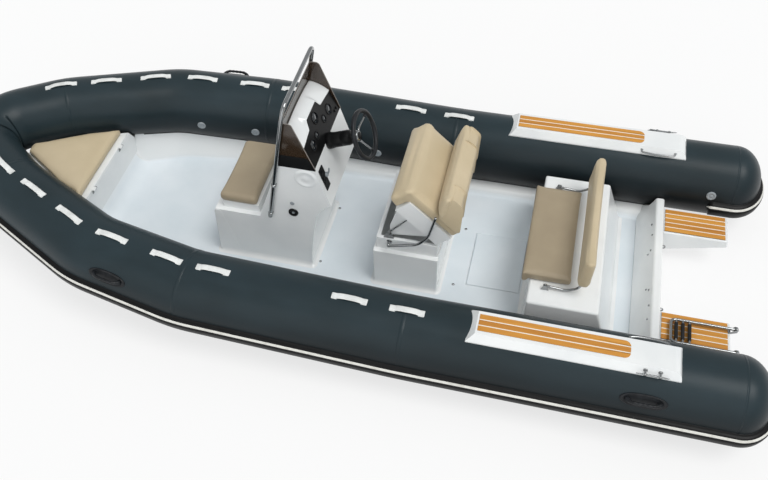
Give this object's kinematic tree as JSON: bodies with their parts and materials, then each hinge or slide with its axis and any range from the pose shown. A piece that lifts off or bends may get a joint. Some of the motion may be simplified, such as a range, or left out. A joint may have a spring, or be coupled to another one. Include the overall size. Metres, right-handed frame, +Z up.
{
  "type": "rigid inflatable boat",
  "caption": "Rigid-hulled inflatable boat with centre console, opening helm seat, folding rear back, swim platforms, boarding ladder, step pads and bow cushion.",
  "frame": {"origin": "on the centreline at the waterline, below the transom's aft face", "axes": "+X to the bow, +Y to port, +Z up"},
  "size_m": [6.4858, 2.6426, 2.013],
  "materials": {
    "gelcoat": "gloss",
    "deck_gelcoat": "satin",
    "tube_fabric": "satin",
    "strake_rubber": "satin",
    "stripe_rubber": "satin",
    "webbing": "matte",
    "moulded_rubber": "matte",
    "teak": "satin",
    "steel": "polished",
    "cushion": "satin",
    "dash": "matte",
    "acrylic": "gloss",
    "wheel_rim": "satin"
  },
  "bodies": {
    "boat": {"hull": "gelcoat", "deck": "deck_gelcoat", "transom": "gelcoat", "tube_port": "tube_fabric", "tube_bow": "tube_fabric", "tube_starboard": "tube_fabric", "strake_port": "strake_rubber", "strake_bow": "strake_rubber", "strake_starboard": "strake_rubber", "strake_stripe": "stripe_rubber", "grab_straps": "webbing", "side_grips": "moulded_rubber", "valves": "moulded_rubber", "step_pad_port": "gelcoat", "step_pad_starboard": "gelcoat", "pad_teak": "teak", "cleats": "steel", "pad_handles": "steel", "swim_platforms": "gelcoat", "platform_teak": "teak", "ladder_hinges": "steel", "transom_eyes": "steel", "bow_locker": "gelcoat", "console": "gelcoat", "console_seat_cushion": "cushion", "dash_panel": "dash", "windscreen": "acrylic", "hoop_rail": "steel", "steering_column": "dash", "helm_seat_base": "gelcoat", "helm_hinges": "steel", "stay_bracket": "steel", "helm_back": "cushion", "helm_back_frame": "steel", "rear_seat_base": "gelcoat", "rear_cushion": "cushion", "rear_pivots": "steel", "bow_hinges": "steel", "hatch_pins": "steel"},
    "steering_wheel": {"steering_wheel": "wheel_rim"},
    "helm_lid": {"helm_lid": "gelcoat", "helm_cushion": "cushion"},
    "lid_stay": {"lid_stay": "steel"},
    "rear_back": {"rear_back": "cushion", "rear_back_frame": "steel"},
    "floor_hatch": {"floor_hatch": "deck_gelcoat"},
    "bow_lid": {"bow_locker_lid": "gelcoat", "bow_cushion": "cushion"},
    "boarding_ladder": {"boarding_ladder": "steel"}
  },
  "joints": [
    {"name": "steering_turn", "type": "hinge", "parent": "boat", "child": "steering_wheel", "pos_m": [2.207, 0, 1.211], "axis": [-0.9272, 0, 0.3746], "range_deg": [-540, 540]},
    {"name": "helm_lid_close", "type": "hinge", "parent": "boat", "child": "helm_lid", "pos_m": [1.6, 0, 0.562], "axis": [0, 1, 0], "range_deg": [0, 45]},
    {"name": "lid_stay_fold", "type": "hinge", "parent": "boat", "child": "lid_stay", "pos_m": [1.965, 0.318, 0.592], "axis": [0, -1, 0], "range_deg": [0, 50]},
    {"name": "rear_back_fold", "type": "hinge", "parent": "boat", "child": "rear_back", "pos_m": [0.812, 0, 0.492], "axis": [0, 1, 0], "range_deg": [0, 95]},
    {"name": "floor_hatch_lift", "type": "hinge", "parent": "boat", "child": "floor_hatch", "pos_m": [1.376, 0, 0.053], "axis": [0, 1, 0], "range_deg": [0, 80]},
    {"name": "bow_lid_lift", "type": "hinge", "parent": "boat", "child": "bow_lid", "pos_m": [4.413, 0, 0.427], "axis": [0, -1, 0], "range_deg": [0, 75]},
    {"name": "ladder_swing", "type": "hinge", "parent": "boat", "child": "boarding_ladder", "pos_m": [-0.5, 0.5485, 0.326], "axis": [0, -1, 0], "range_deg": [0, 260]}
  ],
  "couplings": [
    {"joint": "lid_stay_fold", "follows": "helm_lid_close", "ratio": 1.1111}
  ]
}
